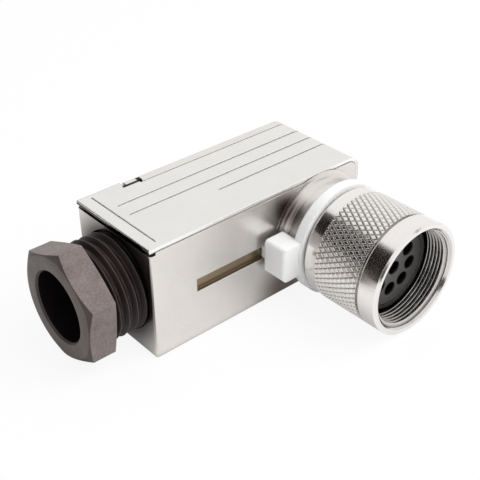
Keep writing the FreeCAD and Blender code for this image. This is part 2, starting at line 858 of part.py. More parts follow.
build_case()
build_cover()
build_index_ring()
build_coupling_ring()
build_sleeve()
build_insulators()
build_contacts()
build_gland()
document.recompute()

for item in document.Objects:
    if "Invalid" in item.State or "Error" in item.State:
        raise RuntimeError(f"{item.Label} failed: {item.State}")
bodies = [item for item in document.Objects if item.TypeId == "PartDesign::Body"]
for body in bodies:
    if body.Shape.isNull() or not body.Shape.isValid():
        raise RuntimeError(f"{body.Label} has no valid shape")
for body in bodies:
    body.Shape.exportStep(f"parts/{body.Label}.step")
    print(f"{body.Label}: {body.Shape.Volume:.2f} cubic mm, {len(body.Shape.Solids)} solid")
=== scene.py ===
# %% [markdown]
# # A right-angle circular cable connector
# This lesson dresses a nickel-plated cable connector. A cast box turns the cable through a right
# angle: the cable enters on the left through a dark plastic gland screw, and the contacts look out
# at the front, inside a knurled coupling ring. A thin formed sheet covers the top and one end.
# The solids were made before this lesson starts. Blender adds what solids leave out: the diamond
# knurl, the threads, and surfaces that look like plated metal and moulded plastic.

import math

import bmesh
import bpy
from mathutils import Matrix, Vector


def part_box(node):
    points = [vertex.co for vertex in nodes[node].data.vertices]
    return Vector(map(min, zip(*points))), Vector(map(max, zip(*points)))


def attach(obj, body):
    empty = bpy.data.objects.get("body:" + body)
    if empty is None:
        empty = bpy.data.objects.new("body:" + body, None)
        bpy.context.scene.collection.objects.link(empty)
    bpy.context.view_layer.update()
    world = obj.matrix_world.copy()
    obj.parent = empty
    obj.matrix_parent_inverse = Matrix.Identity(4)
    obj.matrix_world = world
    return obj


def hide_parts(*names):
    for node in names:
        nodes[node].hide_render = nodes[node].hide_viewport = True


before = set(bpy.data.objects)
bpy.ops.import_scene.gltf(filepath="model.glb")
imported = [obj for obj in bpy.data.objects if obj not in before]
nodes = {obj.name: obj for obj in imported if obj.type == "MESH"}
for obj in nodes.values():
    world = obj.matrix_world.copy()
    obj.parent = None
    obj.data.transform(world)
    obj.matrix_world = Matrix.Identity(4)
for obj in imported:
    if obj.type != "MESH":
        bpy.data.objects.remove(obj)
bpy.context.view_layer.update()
MM = 0.001  # a millimetre, because Blender counts in metres
print("solid pieces:", len(nodes))

# %% [markdown]
# ## The camera
# The connector is small, so its picture was taken from near by, about 15 cm away. The camera looks
# down by about a third of a right angle and sees the box's front, its left end and its top.
# Placing the camera first means that every later step can be checked in the same view.

# %% Place the camera
lens_data = bpy.data.cameras.new("camera")
lens_data.sensor_width = 36
lens_data.lens = 69.58
lens_data.clip_start = 0.01
lens_data.clip_end = 20
camera = bpy.data.objects.new("camera", lens_data)
camera.location = (-0.08074, -0.09717, 0.09062)
camera.rotation_euler = [math.radians(turn) for turn in (56.629, 0.459, -41.151)]
bpy.context.scene.collection.objects.link(camera)
bpy.context.scene.camera = camera
box_middle = Vector((0, 0, 9.5 * MM))
print("camera is", round((camera.location - box_middle).length / MM), "mm from the box's middle")

# %% [markdown]
# ## The studio
# Plated metal has hardly any colour of its own: it shows the room. The room here is a white sweep.
# The camera and the mirrors see it as plain white, and everything else is lit by a calmer level,
# so that colours come out as written. The Light Path node tells what kind of ray is looking, and
# its answer chooses between two backgrounds, one for each level.

# %% Light the room
scene = bpy.context.scene
scene.view_settings.view_transform = "Standard"
WHITE = (1, 1, 1, 1)


def put(tree, kind, **values):
    """A new node, with its settings by name and its sockets as s_name=value or link."""
    node = tree.nodes.new(kind)
    for key, value in values.items():
        if not key.startswith("s_"):
            setattr(node, key, value)
    for key, value in values.items():
        if key.startswith("s_"):
            label = key[2:]
            socket = node.inputs[int(label) if label.isdigit() else label.replace("_", " ")]
            if isinstance(value, bpy.types.NodeSocket):
                tree.links.new(value, socket)
            else:
                socket.default_value = value
    return node


def maths(tree, operation, *terms, clamp=False):
    """What a Math node makes of its terms, which are numbers or links."""
    sockets = {f"s_{number}": term for number, term in enumerate(terms)}
    return put(tree, "ShaderNodeMath", operation=operation, use_clamp=clamp, **sockets).outputs[0]


def share_seen(tree, by_camera, by_mirror, by_glass):
    """A share for each kind of ray that looks at a thing directly, and nought for other light."""
    path = put(tree, "ShaderNodeLightPath")
    shares = [
        ("Is Camera Ray", by_camera),
        ("Is Glossy Ray", by_mirror),
        ("Is Transmission Ray", by_glass),
    ]
    total = 0.0
    for kind, share in shares:
        total = maths(tree, "MULTIPLY_ADD", path.outputs[kind], share, total, clamp=True)
    return total


room = bpy.data.worlds.new("white_room")
scene.world = room
room.use_nodes = True
tree = room.node_tree
tree.nodes.clear()
calm = put(tree, "ShaderNodeBackground", s_Color=WHITE, s_Strength=0.62)
plain = put(tree, "ShaderNodeBackground", s_Color=WHITE, s_Strength=1.0)
seen = share_seen(tree, by_camera=1.0, by_mirror=1.0, by_glass=1.0)
choose = put(tree, "ShaderNodeMixShader", s_0=seen, s_1=calm.outputs[0], s_2=plain.outputs[0])
put(tree, "ShaderNodeOutputWorld", s_Surface=choose.outputs[0])
print("room light:", round(calm.inputs["Strength"].default_value, 2))

# %% [markdown]
# One soft lamp hangs above, in front and to the right. It is as wide as a window, so its shadows
# are soft, and mirrors don't see it, because a bright rectangle would show in the plating.

# %% Hang the soft lamp
def aimed_at(place, target):
    """The turn that makes a lamp or a card at place face target."""
    return (Vector(target) - Vector(place)).to_track_quat("-Z", "Y")


soft_lamp = bpy.data.lights.new("soft_lamp", "AREA")
soft_lamp.shape = "RECTANGLE"
soft_lamp.size = 0.5
soft_lamp.size_y = 0.4
soft_lamp.energy = 3.0
lamp = bpy.data.objects.new("soft_lamp", soft_lamp)
lamp.location = (0.24, -0.30, 0.50)
lamp.rotation_mode = "QUATERNION"
lamp.rotation_quaternion = aimed_at(lamp.location, (0, 0, 0.01))
lamp.visible_camera = False
lamp.visible_glossy = False
scene.collection.objects.link(lamp)
print("lamp:", soft_lamp.energy, "watts")

# %% [markdown]
# The floor is part of the sweep. Where it is looked at directly it is almost wholly white paper
# that glows, with a little real shading mixed in, so a faint shadow stays under the connector.
# Mirrors see less of the glow. They show the paper's real shading, which is darker close to the
# connector, and that darkness is what gives the plated walls their depth.

# %% Lay the floor
def new_object(name, mesh):
    """A mesh as an object in the scene."""
    made = bpy.data.objects.new(name, mesh)
    scene.collection.objects.link(made)
    return made


def flat_sheet(name, width, height, finish):
    """A flat rectangle round its own middle."""
    x, y = width / 2, height / 2
    mesh = bpy.data.meshes.new(name)
    mesh.from_pydata([(-x, -y, 0), (x, -y, 0), (x, y, 0), (-x, y, 0)], [], [(0, 1, 2, 3)])
    mesh.materials.append(finish)
    return new_object(name, mesh)


def empty_material(name):
    """A material without any node yet."""
    made = bpy.data.materials.new(name)
    made.use_nodes = True
    made.node_tree.nodes.clear()
    return made, made.node_tree


paper, tree = empty_material("white_paper")
shaded = put(tree, "ShaderNodeBsdfDiffuse", s_Color=(0.9, 0.9, 0.9, 1))
glow = put(tree, "ShaderNodeEmission", s_Color=WHITE, s_Strength=1.0)
glow_share = share_seen(tree, by_camera=0.9, by_mirror=0.3, by_glass=0.3)
blend = put(tree, "ShaderNodeMixShader", s_0=glow_share, s_1=shaded.outputs[0], s_2=glow.outputs[0])
put(tree, "ShaderNodeOutputMaterial", s_Surface=blend.outputs[0])

floor_side = 3.0
floor = flat_sheet("floor", floor_side, floor_side, paper)
print("floor is", floor_side, "m square")

# %% [markdown]
# A polished cylinder in an all-white room looks like paper. Photographers stand dark cards beside
# the object, and their reflections draw the dark bands that make metal read as metal. One card
# stands behind the connector on the left. A second one stands where the camera is, because a real
# camera and its stand are dark too. A narrow one in front draws a thin line along the ring's
# bevel. Only shiny surfaces see the cards, and they cast no shadow.

# %% Stand dark cards where the polished ring reflects them
CARD_DISTANCE = 0.6


def reflected_card(name, stands, size, tone):
    """A card that only shiny surfaces see. Where it stands is the angle from +X towards +Y and
    the angle up from the floor, in degrees. Its size is the width and the height in metres."""
    side, rise = [math.radians(angle) for angle in stands]
    place = CARD_DISTANCE * Vector(
        (math.cos(side) * math.cos(rise), math.sin(side) * math.cos(rise), math.sin(rise))
    )
    finish, tree = empty_material(name)
    tint = put(tree, "ShaderNodeEmission", s_Color=(*tone, 1))
    put(tree, "ShaderNodeOutputMaterial", s_Surface=tint.outputs[0])
    card = flat_sheet(name, *size, finish)
    card.rotation_mode = "QUATERNION"
    card.location = place
    card.rotation_quaternion = aimed_at(place, (0, 0, 0))
    card.visible_camera = False
    card.visible_diffuse = False
    card.visible_shadow = False
    print(name, "at", [round(x, 2) for x in place])


reflected_card("side_card", stands=(130, 24), size=(0.66, 0.72), tone=(0.016, 0.011, 0.010))
reflected_card("camera_card", stands=(-129, 20), size=(0.34, 0.46), tone=(0.030, 0.024, 0.020))
reflected_card("front_card", stands=(-36, 37), size=(0.26, 0.07), tone=(0.05, 0.045, 0.04))

# %% [markdown]
# ## Shared effects
# Several finishes need the same few effects, so each effect is a shader node group that is built
# once. The first is grain: a fine, cloudy unevenness, as plating over a blasted casting has.
# It gives a tone to tint the colour with, and a height for a Bump node.

# %% Build the grain group
NUMBER = "NodeSocketFloat"
VECTOR = "NodeSocketVector"
FINE_SHARE = 0.6


def new_group(name, inputs, outputs):
    """An empty shader group with number inputs, and outputs named with their kind."""
    group = bpy.data.node_groups.new(name, "ShaderNodeTree")
    for label, value in inputs.items():
        socket = group.interface.new_socket(label, in_out="INPUT", socket_type=NUMBER)
        socket.default_value = value
    for label, kind in outputs.items():
        group.interface.new_socket(label, in_out="OUTPUT", socket_type=kind)
    return group, group.nodes.new("NodeGroupInput"), group.nodes.new("NodeGroupOutput")


def own_place(tree):
    """Where a point lies on its own piece, so that what is drawn there moves with the piece."""
    return put(tree, "ShaderNodeTexCoord").outputs["Object"]


def noise(tree, place, scale, detail):
    """Cloudy noise, read at a place."""
    clouds = put(tree, "ShaderNodeTexNoise", s_Vector=place, s_Scale=scale, s_Detail=detail)
    return clouds.outputs[0]


grain, start, end = new_group(
    "cast_grain", {"Size": 4000.0, "Cloud": 250.0}, {"Tone": NUMBER, "Height": NUMBER}
)
place = own_place(grain)
fine = noise(grain, place, start.outputs["Size"], 3.0)
cloud = noise(grain, place, start.outputs["Cloud"], 2.0)
fine_part = maths(grain, "MULTIPLY", fine, FINE_SHARE)
tone = maths(grain, "MULTIPLY_ADD", cloud, 1 - FINE_SHARE, fine_part)
grain.links.new(tone, end.inputs["Tone"])
grain.links.new(fine, end.inputs["Height"])
print("grain group nodes:", len(grain.nodes))

# %% [markdown]
# The second effect finds edges. The Bevel node gives the direction that a slightly rounded surface
# would face. Where that differs from the real direction, there is an edge. On the plated metal the
# mask lays a painted highlight there, which also stands for rubbed plate, and on the gland screw it
# marks worn edges. The group gives the mask and the rounded direction.

# %% Build the edge group
RAY_SAMPLES = 6
edges, start, end = new_group(
    "edge_mask", {"Width": 0.2 * MM, "Gain": 6.0}, {"Mask": NUMBER, "Normal": VECTOR}
)
bevel = put(edges, "ShaderNodeBevel", samples=RAY_SAMPLES, s_Radius=start.outputs["Width"])
rounded = bevel.outputs[0]
real = put(edges, "ShaderNodeNewGeometry").outputs["Normal"]
agree = put(edges, "ShaderNodeVectorMath", operation="DOT_PRODUCT", s_0=rounded, s_1=real)
differ = maths(edges, "SUBTRACT", 1.0, agree.outputs["Value"])
mask = maths(edges, "MULTIPLY", differ, start.outputs["Gain"], clamp=True)
edges.links.new(mask, end.inputs["Mask"])
edges.links.new(rounded, end.inputs["Normal"])
print("edge group nodes:", len(edges.nodes))

# %% [markdown]
# The third effect is painted shade in closed-in places: grooves, seams and inside corners, where
# the finishes darken their colour. Ambient occlusion measures how closed in a point is. A second
# copy of the group counts only the piece itself, for the wide painted shade where the collar grows
# out of the wall.

# %% Build the crevice group
def closed_in(name, piece_alone):
    """The group that marks closed-in places, counting every piece or this one alone."""
    group, start, end = new_group(name, {"Reach": 1.2 * MM, "Power": 1.5}, {"Mask": NUMBER})
    openness = put(
        group,
        "ShaderNodeAmbientOcclusion",
        samples=RAY_SAMPLES,
        only_local=piece_alone,
        s_Distance=start.outputs["Reach"],
    )
    closed = maths(group, "SUBTRACT", 1.0, openness.outputs["AO"])
    depth = maths(group, "POWER", closed, start.outputs["Power"], clamp=True)
    group.links.new(depth, end.inputs["Mask"])
    print(name, "nodes:", len(group.nodes))
    return group


crevice = closed_in("crevice_mask", piece_alone=False)
own_hollow = closed_in("own_hollow_mask", piece_alone=True)

# %% [markdown]
# The last effect is lathe marks. The ring and what sits inside it were turned, and the tool leaves
# fine rings round the axis. The marks change with the distance from the axis and along it, but not
# with the angle, so noise that is read at those two numbers alone makes closed rings.
# The group also tells what lies inside a bore, where the finishes paint shade.

# %% Build the lathe group
ring_low, ring_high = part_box("coupling_ring")
ring_axis = Vector(((ring_low.x + ring_high.x) / 2, 0, (ring_low.z + ring_high.z) / 2))


def axis_distance(tree, place, centre, across):
    """How far a place lies from the axis through centre. Across is one in the ways that count."""
    moved = put(tree, "ShaderNodeVectorMath", operation="SUBTRACT", s_0=place, s_1=centre)
    flat = put(tree, "ShaderNodeVectorMath", operation="MULTIPLY", s_0=moved.outputs[0], s_1=across)
    length = put(tree, "ShaderNodeVectorMath", operation="LENGTH", s_0=flat.outputs[0])
    return length.outputs["Value"]


lathe, start, end = new_group(
    "lathe_marks",
    {"Fineness": 9000.0, "Bore": 0.0},
    {"Tone": NUMBER, "Height": NUMBER, "Inside": NUMBER},
)
place = own_place(lathe)
radius = axis_distance(lathe, place, ring_axis, across=(1, 0, 1))
along = put(lathe, "ShaderNodeSeparateXYZ", s_Vector=place).outputs["Y"]
round_place = put(lathe, "ShaderNodeCombineXYZ", s_X=radius, s_Y=along).outputs[0]
rings = noise(lathe, round_place, start.outputs["Fineness"], 2.0)
inside = maths(lathe, "LESS_THAN", radius, start.outputs["Bore"])
lathe.links.new(rings, end.inputs["Tone"])
lathe.links.new(rings, end.inputs["Height"])
lathe.links.new(inside, end.inputs["Inside"])
print("ring axis at", [round(x / MM, 2) for x in ring_axis], "mm")

# %% [markdown]
# ## Finishes
# A finish is one material. Every one starts with a Principled shader, takes the shared effects with
# its own values, and lays one colour over another where a mask is high. A Bump node gives the skin
# its fine height. It starts from the rounded direction, so that sharp edges catch a line of light.

# %% Make the finish helpers
def new_finish(name):
    """A material with its Principled shader, ready for more nodes."""
    made = bpy.data.materials.new(name)
    made.use_nodes = True
    return made, made.node_tree, made.node_tree.nodes["Principled BSDF"]


def use_group(tree, group, **values):
    """One of the shared effects, with its values."""
    node = tree.nodes.new("ShaderNodeGroup")
    node.node_tree = group
    for label, value in values.items():
        node.inputs[label].default_value = value
    return node


def mix_colours(tree, share, first, second):
    """A colour between two, where a share of one means the second."""
    return put(tree, "ShaderNodeMix", data_type="RGBA", s_0=share, s_6=first, s_7=second).outputs[2]


def scaled(tree, value, factor, offset=0.0):
    """A number times a factor, plus an offset."""
    return maths(tree, "MULTIPLY_ADD", value, factor, offset)


def shade(tree, tone, dark, light):
    """A colour between a dark and a light one, chosen by a tone."""
    return mix_colours(tree, tone, (*dark, 1), (*light, 1))


def layered(tree, colour, layers):
    """A colour with others laid over it. Each layer is a mask, its share and its colour."""
    for mask, share, tint in layers:
        colour = mix_colours(tree, scaled(tree, mask, share), colour, (*tint, 1))
    return colour


def bumped(tree, shader, height, strength, distance, normal):
    """Feeds a height to the shader's normal, on top of a rounded normal."""
    bump = put(
        tree,
        "ShaderNodeBump",
        s_Height=height,
        s_Strength=strength,
        s_Distance=distance,
        s_Normal=normal,
    )
    tree.links.new(bump.outputs[0], shader.inputs["Normal"])


print("every finish starts with a Principled shader")

# %% [markdown]
# The connector isn't the same colour all over. Most marks here are painted light: painted shade,
# painted dark reflections and painted highlights, and some also stand for dirt and rubbed plate.
# An image could hold such marks, but then the mesh has to be unwrapped first.
# Here each mark is worked out from where a point lies: between limits along X, Y and Z, round a
# middle, or round the cable's axis. The place is read on the piece itself, so that a mark moves
# with its piece.

# %% Make the tools that mark places
gland_axis_z = ring_axis.z  # the cable comes in as high as the ring's axis


def times(tree, first, second):
    """The product of two masks."""
    return maths(tree, "MULTIPLY", first, second)


def within(tree, value, low, high):
    """One where a value lies between two limits, and nought elsewhere."""
    return maths(tree, "COMPARE", value, (low + high) / 2, (high - low) / 2)


def fading(tree, value, full, gone, **settings):
    """One up to a first value, in mm, falling to nought at a second."""
    node = put(tree, "ShaderNodeMapRange", s_Value=value, s_To_Min=1.0, s_To_Max=0.0, **settings)
    node.inputs["From Min"].default_value = full * MM
    node.inputs["From Max"].default_value = gone * MM
    return node.outputs[0]


def block(facing=None, **limits):
    """Marks what lies between limits in mm, as X=(low, high), with Y and Z if they are given.
    Facing is an axis and the limits of the surface's direction along it, from -1 to 1."""

    def build(tree):
        split = put(tree, "ShaderNodeSeparateXYZ", s_Vector=own_place(tree))
        parts = [
            within(tree, split.outputs[way], low * MM, high * MM)
            for way, (low, high) in limits.items()
        ]
        if facing is not None:
            way, low, high = facing
            normal = put(tree, "ShaderNodeNewGeometry").outputs["Normal"]
            turned = put(tree, "ShaderNodeSeparateXYZ", s_Vector=normal).outputs[way]
            parts.append(within(tree, turned, low, high))
        mask = parts[0]
        for part in parts[1:]:
            mask = times(tree, mask, part)
        return mask

    return build


def soft_spot(centre, full, gone):
    """Marks a soft spot round a centre: one up to a distance in mm, then fading to nought."""
    middle = [x * MM for x in centre]

    def build(tree):
        place = own_place(tree)
        apart = put(tree, "ShaderNodeVectorMath", operation="DISTANCE", s_0=place, s_1=middle)
        return fading(tree, apart.outputs["Value"], full, gone, interpolation_type="SMOOTHSTEP")

    return build


def round_cable(full, gone):
    """Marks what lies round the cable's axis: one up to a radius in mm, then fading to nought."""

    def build(tree):
        radius = axis_distance(tree, own_place(tree), (0, 0, gland_axis_z), across=(0, 1, 1))
        return fading(tree, radius, full, gone)

    return build


def both(first, second):
    """Marks what two marks share."""
    return lambda tree: times(tree, first(tree), second(tree))


def marked(tree, marks):
    """Turns marks into layers, by building each one's mask in a material."""
    return [(mark(tree), share, tint) for mark, share, tint in marks]


print("cable axis at", round(gland_axis_z / MM, 2), "mm above the floor")

# %% [markdown]
# The box and its cover have the same satin plate, with marks of their own. The stepped seam behind
# the lid is a narrow, deep gap, and painted black shade lies in and round it. The seat under the
# sheet's left end gets painted black shade too, and the sheet's cut edge at the left end is dark,
# partly as a rough cut edge and partly as painted shade. The floor of the slot in the front wall
# gets a painted yellow-brown shade and reflection. Painted brown shade lies beside the collar and
# under it, and a nearly black painted shadow and reflection of the gland screw lies round it on the
# end wall. The lid's front rim gets a painted highlight, and the line pressed across its left end
# is duller.

# %% Mark the places on the box and its cover
cover_low, cover_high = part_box("cover")
cover_left = cover_low.x / MM
SEAM_BLACK = (0.012, 0.009, 0.008)
# A painted highlight colour for edges and for the lid's front rim; on edges it also stands for
# rubbed plate.
HIGHLIGHT_AND_WEAR = (1.0, 0.985, 0.97)
# Painted black shade in and round the narrow, deep seam behind the lid.
seam_parts = [
    block(X=(-13.6, -10.1), Y=(7.55, 8.12), Z=(18.0, 19.4)),
    block(X=(-13.9, -13.0), Y=(7.6, 9.2), Z=(17.0, 19.45), facing=("Z", -0.9, 0.7)),
    block(X=(-10.7, -9.9), Y=(7.8, 8.8), Z=(17.0, 19.4)),
]
seam_marks = [(part, 1.0, SEAM_BLACK) for part in seam_parts]
slot_floor = block(X=(-13.1, 3.0), Y=(-9.1, -8.3), Z=(8.4, 10.9))
lid_seat = block(X=(-30, -19.5), Y=(-7.8, 20), Z=(17.9, 18.69), facing=("Z", 0.7, 1.01))
end_wall = block(X=(-30, -19.5), Y=(-20, 20), Z=(-1, 18.5), facing=("X", -1.01, -0.6))
beside_collar = soft_spot((4.8, -9.4, 15.5), 0.8, 4.2)
under_collar = soft_spot((5.0, -9.2, 1.0), 1.0, 8.5)
# Painted shade and reflection: the slot floor, the seat under the sheet's end, the end wall round
# the gland screw, and beside and under the collar.
box_marks = [
    (slot_floor, 1.0, (0.30, 0.235, 0.16)),
    (lid_seat, 0.95, (0.02, 0.015, 0.013)),
    (both(end_wall, round_cable(8.4, 12.5)), 0.9, (0.03, 0.021, 0.017)),
    (beside_collar, 0.85, (0.10, 0.068, 0.052)),
    (under_collar, 0.85, (0.11, 0.075, 0.052)),
]
end_line = block(X=(-20.7, -18.8), Y=(-8.2, 8.2), Z=(18.6, 19.27))
front_rim = block(X=(-21.1, 21.2), Y=(-9.4, -8.6), Z=(18.5, 19.4), facing=("Y", -1.01, -0.2))
cut_edge = block(
    X=(cover_left - 1, cover_left + 0.2),
    Y=(-7.4, cover_high.y / MM + 1),
    Z=(cover_low.z / MM, cover_high.z / MM - 0.2),
    facing=("X", -1.01, -0.5),
)
# The front rim gets a painted highlight. The cut edge is darkened, partly as a rough cut edge and
# partly as painted shade of the gap.
cover_marks = [
    (end_line, 0.55, (0.72, 0.70, 0.67)),
    (front_rim, 1.0, HIGHLIGHT_AND_WEAR),
    (cut_edge, 1.0, (0.03, 0.022, 0.018)),
]
print("marks on the box, the cover, both:", len(box_marks), len(cover_marks), len(seam_marks))

# %% [markdown]
# Plated metal gets its colour from the base colour, and how soft it looks from the roughness. The
# satin plate gets a painted highlight along its edges, which also stands for rubbed plate, and
# painted brown shade in corners and hollows. The formed sheet is a little paler than the casting,
# and the painted highlight on its edges is wider and stronger.

# %% Mix the satin nickel
SATIN_GRAIN = 0.008 * MM


def satin_nickel(name, dark, light, roughness, bright_edge_width, bright_edge_gain, marks):
    """Nickel plate over a blasted surface, with painted highlights and wear on its edges, painted
    shade in corners and hollows, and its marks.
    """
    made, tree, shader = new_finish(name)
    shader.inputs["Metallic"].default_value = 1.0
    grains = use_group(tree, grain, Size=5200.0, Cloud=210.0)
    edge = use_group(tree, edges, Width=bright_edge_width * MM, Gain=bright_edge_gain)
    corner = use_group(tree, crevice, Reach=1.2 * MM, Power=1.2)
    hollow = use_group(tree, own_hollow, Reach=6 * MM, Power=1.4)
    plate = shade(tree, grains.outputs["Tone"], dark, light)
    # Painted highlight and wear on edges, and painted shade in hollows and corners.
    painted_light_and_wear = [
        (edge.outputs["Mask"], 0.8, HIGHLIGHT_AND_WEAR),
        (hollow.outputs["Mask"], 0.35, (0.085, 0.06, 0.048)),
        (corner.outputs["Mask"], 0.75, (0.09, 0.066, 0.052)),
    ]
    colour = layered(tree, layered(tree, plate, painted_light_and_wear), marked(tree, marks))
    tree.links.new(colour, shader.inputs["Base Color"])
    uneven = scaled(tree, grains.outputs["Tone"], 0.12, roughness)
    smooth_edge = scaled(tree, edge.outputs["Mask"], -0.1, uneven)
    tree.links.new(smooth_edge, shader.inputs["Roughness"])
    bumped(tree, shader, grains.outputs["Height"], 0.35, SATIN_GRAIN, edge.outputs["Normal"])
    return made


cast_nickel = satin_nickel(
    "cast_nickel",
    dark=(0.70, 0.665, 0.635),
    light=(0.86, 0.83, 0.805),
    roughness=0.23,
    bright_edge_width=0.22,
    bright_edge_gain=3.0,
    marks=box_marks + seam_marks,
)
sheet_nickel = satin_nickel(
    "sheet_nickel",
    dark=(0.725, 0.71, 0.68),
    light=(0.88, 0.87, 0.84),
    roughness=0.24,
    bright_edge_width=0.4,
    bright_edge_gain=12.0,
    marks=cover_marks + seam_marks,
)
print("satin finishes:", cast_nickel.name, sheet_nickel.name)

# %% [markdown]
# The coupling ring is brighter: turned brass, plated and hardly rougher than a mirror, with lathe
# marks that spread each reflection into a soft streak. Inside the ring's mouth the colour is
# darker, as painted shade, and the thread's grooves are painted nearly black, as shade. Corners get
# painted shade and dirt, most strongly on the contacts deep in their wells. The sleeve, the washers
# and the contacts are turned as well, but duller, and the contacts are silvered.

# %% Mix the turned metals
TURNED_GRAIN = 0.004 * MM


def turned_metal(name, dark, light, roughness, bore=0.0, reach=0.6, shade_and_dirt=0.6):
    """Plate over lathe-turned metal, with painted shade inside a bore and in its corners. Bore and
    reach are in mm.
    """
    made, tree, shader = new_finish(name)
    shader.inputs["Metallic"].default_value = 1.0
    lines = use_group(tree, lathe, Fineness=7000.0, Bore=bore * MM)
    edge = use_group(tree, edges, Width=0.08 * MM, Gain=4.0)
    corner = use_group(tree, crevice, Reach=reach * MM, Power=1.3)
    pocket = use_group(tree, crevice, Reach=1.4 * MM, Power=0.65)
    # Painted black shade deep inside the bore.
    painted_shade_inside = times(tree, pocket.outputs["Mask"], lines.outputs["Inside"])
    plate = shade(tree, lines.outputs["Tone"], dark, light)
    # Painted shade inside the bore, and painted shade and dirt in corners.
    painted_light_and_wear = [
        (lines.outputs["Inside"], 0.3, (0.24, 0.215, 0.20)),
        (corner.outputs["Mask"], shade_and_dirt, (0.05, 0.034, 0.028)),
        (painted_shade_inside, 1.0, (0.02, 0.014, 0.012)),
    ]
    tree.links.new(layered(tree, plate, painted_light_and_wear), shader.inputs["Base Color"])
    tree.links.new(scaled(tree, lines.outputs["Tone"], 0.10, roughness), shader.inputs["Roughness"])
    bumped(tree, shader, lines.outputs["Height"], 0.25, TURNED_GRAIN, edge.outputs["Normal"])
    return made


ring_nickel = turned_metal(
    "ring_nickel", (0.78, 0.755, 0.73), (0.92, 0.90, 0.875), 0.12, bore=8.4, reach=0.45, shade_and_dirt=0.9
)
sleeve_nickel = turned_metal("sleeve_nickel", (0.20, 0.19, 0.185), (0.30, 0.285, 0.275), 0.34)
spring_steel = turned_metal("spring_steel", (0.42, 0.42, 0.42), (0.58, 0.58, 0.58), 0.24)
washer_steel = turned_metal("washer_steel", (0.50, 0.50, 0.48), (0.66, 0.66, 0.64), 0.28)
# The contacts sit deep in their wells, so their corners get strong painted shade.
contact_silver = turned_metal(
    "contact_silver", (0.30, 0.285, 0.255), (0.37, 0.355, 0.32), 0.3, reach=4, shade_and_dirt=0.98
)
print("turned finishes: ring, sleeve, springs, washers and", contact_silver.name)

# %% [markdown]
# The dark plastics have painted shade too. The insert is painted black inside its wells, where the
# contacts sit, as shade. The gland screw's end face is painted darker than its flats, as shade. Its
# cones, its shank and the wall of its bore are painted nearly black, as shade, and on the cones
# also as a dark reflection.

# %% Mark the places on the plastics
insert_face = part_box("contact_insert")[0].y
gland_low, gland_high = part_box("gland_screw")
gland_left = gland_low.x / MM
gland_right = gland_high.x / MM
gland_front = (gland_left - 1, gland_left + 2)
NEARLY_BLACK = (0.006, 0.004, 0.004)
# Painted shade: black in the insert's wells, and dark on the gland screw's end face, cones, shank
# and bore.
wells = block(Y=(insert_face / MM + 0.3, 100))
end_face = block(X=gland_front, facing=("X", -1.01, -0.97))
cones = block(X=gland_front, facing=("X", -0.97, -0.55))
shank = block(X=(gland_left + 4.7, gland_right + 1))
bore_wall = both(block(X=(gland_left + 0.3, gland_right + 1)), round_cable(5.75, 5.8))
insert_marks = [(wells, 1.0, (0.003, 0.002, 0.002))]
gland_marks = [
    (end_face, 0.65, (0.085, 0.068, 0.06)),
    (cones, 0.8, (0.035, 0.026, 0.024)),
    (shank, 0.95, (0.018, 0.009, 0.008)),
    (bore_wall, 1.0, NEARLY_BLACK),
]
print("marks:", len(insert_marks), "on the insert,", len(gland_marks), "on the gland screw")

# %% [markdown]
# The plastics are moulded, and their skin is finely speckled. The index ring is a white plastic
# that lets a little light in, so it gets some subsurface scattering. The insert is a plain dark
# plastic. The gland screw is dark brown-grey, with worn, paler edges. The cable's seal is a dark
# rubber, which is mixed in the same way.

# %% Mix the plastics and the rubber
def moulded(
    name, dark, light, roughness, size, height, gloss=0.5, depth=0, worn=None, reach=0, marks=()
):
    """Moulded plastic, with painted shade, nearly black, in what is closed in. Height, depth and
    reach are in mm.
    """
    made, tree, shader = new_finish(name)
    grains = use_group(tree, grain, Size=size, Cloud=400.0)
    edge = use_group(tree, edges, Width=0.25 * MM, Gain=5.0)
    speckle = put(
        tree, "ShaderNodeMapRange", s_Value=grains.outputs["Tone"], s_From_Min=0.36, s_From_Max=0.64
    ).outputs[0]
    layers = marked(tree, marks)
    if worn is not None:
        layers.append((edge.outputs["Mask"], 0.55, worn))
    # Closed-in places get painted shade, nearly black.
    if reach:
        pocket = use_group(tree, crevice, Reach=reach * MM, Power=0.9)
        layers.append((pocket.outputs["Mask"], 1.0, NEARLY_BLACK))
    colour = layered(tree, shade(tree, speckle, dark, light), layers)
    tree.links.new(colour, shader.inputs["Base Color"])
    tree.links.new(scaled(tree, speckle, -0.1, roughness), shader.inputs["Roughness"])
    shader.inputs["Specular IOR Level"].default_value = gloss
    if depth:
        shader.inputs["Subsurface Weight"].default_value = 0.35
        shader.inputs["Subsurface Radius"].default_value = (1.0, 0.95, 0.9)
        shader.inputs["Subsurface Scale"].default_value = depth * MM
    bumped(tree, shader, grains.outputs["Height"], 0.5, height * MM, edge.outputs["Normal"])
    return made


white_plastic = moulded(
    "white_plastic",
    (0.90, 0.91, 0.90),
    (0.95, 0.96, 0.95),
    0.42,
    size=3000.0,
    height=0.006,
    depth=0.8,
)
dark_plastic = moulded(
    "dark_plastic",
    (0.062, 0.058, 0.057),
    (0.098, 0.093, 0.091),
    0.42,
    size=4000.0,
    height=0.01,
    reach=2.2,
    marks=insert_marks,
)
gland_plastic = moulded(
    "gland_plastic",
    (0.150, 0.122, 0.115),
    (0.235, 0.196, 0.187),
    0.5,
    size=3600.0,
    height=0.02,
    gloss=0.2,
    worn=(0.30, 0.26, 0.245),
    reach=4,
    marks=gland_marks,
)
seal_rubber = moulded(
    "seal_rubber", (0.016, 0.016, 0.016), (0.035, 0.034, 0.033), 0.66, size=2500.0, height=0.02
)
print("moulded finishes:", len([white_plastic, dark_plastic, gland_plastic, seal_rubber]))

# %% [markdown]
# ## Dress the solids
# Every solid piece keeps its place and gets the finish of what it is made of.

